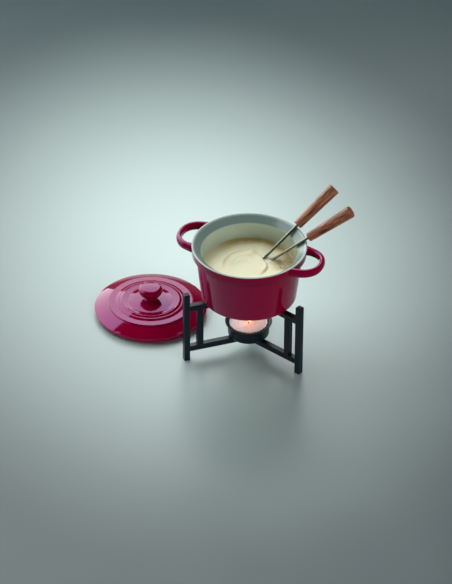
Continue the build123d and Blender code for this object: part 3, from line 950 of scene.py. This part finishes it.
def braid(share):
    """Outline of the twisted strands, narrower at the burnt tip."""
    radius = WICK_RADIUS - TIP_TAPER * smooth(0.93, 1, share)
    out = []
    for k in range(BRAID_POINTS):
        a = 2 * math.pi * k / BRAID_POINTS
        strand = abs(math.cos(STRANDS / 2 * (a - WICK_TWIST * share)))
        r = radius * (1 - STRAND_RELIEF + STRAND_RELIEF * strand)
        out.append((r * math.cos(a), r * math.sin(a)))
    return out


wick = swept("tealight_braided_wick", wick_path, braid, (0, 1, 0), "tealight", WICK)
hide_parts("tealight_wick")

FLAME_FOOT = WAX_TOP + 1.8
FLAME_AT = (AXIS_X + 0.9, AXIS_Y - 0.1)
FLAME_LINE = [(0, 0), (0.8, 0.1), (1.3, 0.5), (1.65, 1.2), (1.7, 2.0), (1.5, 2.9), (1.15, 3.8), (0.75, 4.7)]
FLAME_LINE += [(0.4, 5.5), (0.15, 6.1), (0, 6.4)]
flame_part = ([(r, FLAME_FOOT + z) for r, z in FLAME_LINE], FLAME)
lathe("tealight_flame", [flame_part], FLAME_AT, "tealight", 48)

# ---------------------------------------------------------------- cheese

CHEESE_TOP = 100.1
CHEESE_FOOT = POT_FLOOR + 0.1

# The surface, mm from the pot's axis: (waves to the mm, seed, height) of its unevenness, the climb at the
# wall, and the swirl, whose rim is given as (degrees, radius) round its own centre. The rim fades out over
# OPENING towards the front, is lower and sharper from LEFT_SIDE on, and softer over BACK_SIDE, in degrees.
WAVES = [(0.05, 3, 0.5), (0.17, 9, 0.12)]
WALL_CLIMB = 1.0
CLIMB_RADII = (42.5, 46)
SWIRL_CENTRE = Vector((-3.2, 5.7))
SWIRL_EDGE = [(-60, 27), (-34, 24.7), (-19, 23), (12, 16.8), (55, 15.4), (83, 16.8), (121, 17.1), (148, 17.8)]
SWIRL_EDGE += [(172, 18.9), (196, 21.1), (235, 25)]
OPENING = (-58, -28, 192, 230)
LEFT_SIDE = (100, 130)
BACK_SIDE = (22, 48, 84, 112)
MOUND_MIDDLE = 0.3
SWIRL_HEIGHT = 1.4
LEFT_LOWER = 0.35
SOFTNESS = 1.7
SOFTER_BEHIND = 2.6
CREASE_DEPTH = 0.95
CREASE_OFFSET = 0.9
CREASE_WIDTH = 1.4
RIDGE_HEIGHT = 0.09
RIDGE_RATE = 1.05
RIDGE_TWIST = 0.6
RIDGE_START = 9
CREASE_RIGHT = 0.35

# The peak where the stirring ended, with its tail to the front, then the lumps and the forks' entries, each
# (x, y, size).
PEAK = Vector((-1.1, 22.7))
PEAK_HEIGHT = 1.9
PEAK_WIDTH = 3.2
PEAK_BACK = 2.4
PEAK_FRONT = 7.5
TAIL_SPREAD = 0.25
LUMPS = [(30.1, 10.6, 1.6), (34.3, 4.4, 1.8), (27.4, 14.2, 1.2)]
LUMPS += [(36.5, 9.5, 1.3), (31.6, 0.4, 1.1), (38.8, 3.2, 1.0)]
LUMP_HEIGHT = 0.9
FORK_ENTRIES = [(13.3, 16.7, 2.4), (20.5, 12.2, 2.4)]
ENTRY_HEIGHT = 0.6


def wall_radius(z):
    """Inner face of the pot at height z, mm."""
    return FLOOR_RADIUS + (LEDGE_RADIUS - FLOOR_RADIUS) * (z - POT_FLOOR) / (LEDGE_HEIGHT - POT_FLOOR)


def swirl_edge(degrees):
    """Radius of the swirl's rim at an angle from its own centre."""
    for (a, ra), (b, rb) in zip(SWIRL_EDGE, SWIRL_EDGE[1:]):
        if a <= degrees <= b:
            return ra + (rb - ra) * (degrees - a) / (b - a)
    return SWIRL_EDGE[-1][1]


def swirl_height(x, y):
    """The swirl's mound with the crease along its rim and faint ridges inside; it opens to the front."""
    p = Vector((x, y)) - SWIRL_CENTRE
    degrees = (math.degrees(math.atan2(p.y, p.x)) + 90) % 360 - 90
    if degrees < -75:
        degrees += 360
    d = p.length
    rim = swirl_edge(degrees)
    left = smooth(*LEFT_SIDE, degrees)
    soft = SOFTNESS + SOFTER_BEHIND * between(*BACK_SIDE, degrees)
    dome = MOUND_MIDDLE + (1 - MOUND_MIDDLE) * smooth(0.25, 0.95, d / rim)
    h = SWIRL_HEIGHT * dome * (1 - smooth(rim - soft, rim + soft, d)) * (1 - LEFT_LOWER * left)
    crease = math.exp(-(((d - rim - CREASE_OFFSET) / CREASE_WIDTH) ** 2))
    h -= CREASE_DEPTH * crease * (CREASE_RIGHT + (1 - CREASE_RIGHT) * left)
    if d < rim:
        ridges = math.sin((rim - d) * RIDGE_RATE + math.radians(degrees) * RIDGE_TWIST)
        h += RIDGE_HEIGHT * ridges * smooth(0, RIDGE_START, d)
    return h * between(*OPENING, degrees)


def peak_height(x, y):
    """The peak, steep behind and drawn out to the front."""
    p = Vector((x, y)) - PEAK
    wide = PEAK_WIDTH + TAIL_SPREAD * max(0.0, -p.y)
    long = PEAK_BACK if p.y > 0 else PEAK_FRONT
    return PEAK_HEIGHT * math.exp(-((p.x / wide) ** 2) - (p.y / long) ** 2)


def bumps(x, y, places, height):
    """Round bumps at (x, y, size) places."""
    return sum(height * math.exp(-((math.hypot(x - bx, y - by) / size) ** 2)) for bx, by, size in places)


def cheese_height(x, y):
    """Height of the surface over its mean level at x, y in mm from the pot's axis."""
    h = sum(height * noise.noise(Vector((x, y, seed)) * rate) for rate, seed, height in WAVES)
    h += WALL_CLIMB * smooth(*CLIMB_RADII, math.hypot(x, y)) ** 2
    h += swirl_height(x, y) + peak_height(x, y)
    return h + bumps(x, y, LUMPS, LUMP_HEIGHT) + bumps(x, y, FORK_ENTRIES, ENTRY_HEIGHT)


CHEESE_SEGMENTS = 300
CHEESE_RINGS = 130
WALL_PRESS = 0.05
CHEESE_SIDE = [(wall_radius(z) - WALL_PRESS, z) for z in (97, 92, 86, 81)]
CHEESE_SIDE += [(42.2, 77), (40, 73.6), (36, CHEESE_FOOT)]


def make_cheese():
    """The filling: its uneven surface, and its sides and bottom close inside the pot."""
    centre = Vector((AXIS_X, AXIS_Y, 0))
    edge = wall_radius(CHEESE_TOP) + WALL_PRESS
    rings = [(edge * i / CHEESE_RINGS, None) for i in range(1, CHEESE_RINGS + 1)] + CHEESE_SIDE
    verts = [(centre + Vector((0, 0, CHEESE_TOP + cheese_height(0, 0)))) * MM]
    for r, z in rings:
        for k in range(CHEESE_SEGMENTS):
            a = 2 * math.pi * k / CHEESE_SEGMENTS
            x, y = r * math.cos(a), r * math.sin(a)
            level = CHEESE_TOP + cheese_height(x, y) if z is None else z
            verts.append((centre + Vector((x, y, level))) * MM)
    verts.append((centre + Vector((0, 0, CHEESE_FOOT))) * MM)
    faces = []
    last = 1 + (len(rings) - 1) * CHEESE_SEGMENTS
    for k in range(CHEESE_SEGMENTS):
        n = (k + 1) % CHEESE_SEGMENTS
        faces.append([0, 1 + k, 1 + n])
        faces.append([last + k, len(verts) - 1, last + n])
        for i in range(len(rings) - 1):
            a, b = 1 + i * CHEESE_SEGMENTS + k, 1 + i * CHEESE_SEGMENTS + n
            faces.append([a, a + CHEESE_SEGMENTS, b + CHEESE_SEGMENTS, b])
    return new_object("cheese_fondue", verts, faces, "pot", [CHEESE])


make_cheese()

# ---------------------------------------------------------------- floor, lights

FLOOR_HALF = 6

floor_mesh = bpy.data.meshes.new("floor")
floor_corners = [(x * FLOOR_HALF, y * FLOOR_HALF, 0) for x, y in ((-1, -1), (1, -1), (1, 1), (-1, 1))]
floor_mesh.from_pydata(floor_corners, [], [(0, 1, 2, 3)])
floor = bpy.data.objects.new("floor", floor_mesh)
bpy.context.scene.collection.objects.link(floor)
floor_mesh.materials.append(table_top())


def area_light(name, at, aim, size, power, colour):
    """A rectangular light of power watts at one place, facing another."""
    data = bpy.data.lights.new(name, "AREA")
    data.shape = "RECTANGLE"
    data.size, data.size_y = size
    data.energy = power
    data.color = colour
    obj = bpy.data.objects.new(name, data)
    bpy.context.scene.collection.objects.link(obj)
    obj.location = at
    obj.rotation_euler = (Vector(aim) - Vector(at)).to_track_quat("-Z", "Y").to_euler()
    return obj


DAYLIGHT = (0.95, 1.0, 1.0)
PALER_DAYLIGHT = (0.97, 1.0, 1.0)

# Upright panels whose sides meet: heading and half the width in degrees, distance, bottom and top in metres,
# and watts per square metre.
WINDOWS = {
    "window_back": (-12.0, 18.0, 1.45, 0.62, 3.4, 10.5),
    "window_corner": (-50.5, 20.5, 1.4, 0.1, 2.1, 11.0),
    "window_left": (-90.5, 19.5, 1.4, 0.05, 2.7, 6.6),
}
for name, (heading, half, distance, bottom, top_edge, brightness) in WINDOWS.items():
    width = 2 * distance * math.tan(math.radians(half))
    height = top_edge - bottom
    turned = math.radians(heading)
    level = (bottom + top_edge) / 2
    at = (distance * math.sin(turned), distance * math.cos(turned), level)
    area_light(name, at, (0, 0, level), (width, height), brightness * width * height, DAYLIGHT)

# Light from the room that doesn't show in reflections: place, aim, size, watts, colour.
FILLS = {
    "room_fill": ((1.5, -0.15, 1.55), (0, 0, 0), (1.8, 1.8), 13, DAYLIGHT),
    "front_fill": ((1.15, -1.6, 0.32), (0, 0, 0.05), (2.2, 0.8), 17, PALER_DAYLIGHT),
}
for name, values in FILLS.items():
    area_light(name, *values).visible_glossy = False

WORLD_LIGHT = 0.16
WORLD_COLOUR = (0.75, 0.84, 0.85, 1)

# How the surroundings fade: direction component, where the fade starts and ends, and its two levels.
WORLD_FADES = [("Z", 0.16, 0.42, 1.0, 0.05), ("Y", -0.7, 0.7, 0.35, 1.0)]


def studio_world():
    """Dim surroundings, a little brighter low down and behind, as white walls would be."""
    world = bpy.data.worlds.new("world")
    world.use_nodes = True
    tree = world.node_tree
    split = tree.nodes.new("ShaderNodeSeparateXYZ")
    tree.links.new(tree.nodes.new("ShaderNodeTexCoord").outputs["Generated"], split.inputs[0])
    background = tree.nodes["Background"]
    background.inputs["Color"].default_value = WORLD_COLOUR
    strength = None
    for source, *values in WORLD_FADES:
        fade = tree.nodes.new("ShaderNodeMapRange")
        fade.interpolation_type = "SMOOTHSTEP"
        tree.links.new(split.outputs[source], fade.inputs["Value"])
        for key, value in zip(("From Min", "From Max", "To Min", "To Max"), values):
            fade.inputs[key].default_value = value
        product = tree.nodes.new("ShaderNodeMath")
        product.operation = "MULTIPLY"
        tree.links.new(fade.outputs[0], product.inputs[0])
        if strength:
            tree.links.new(strength, product.inputs[1])
        else:
            product.inputs[1].default_value = WORLD_LIGHT
        strength = product.outputs[0]
    tree.links.new(strength, background.inputs["Strength"])
    bpy.context.scene.world = world


studio_world()
bpy.context.scene.view_settings.view_transform = "Standard"
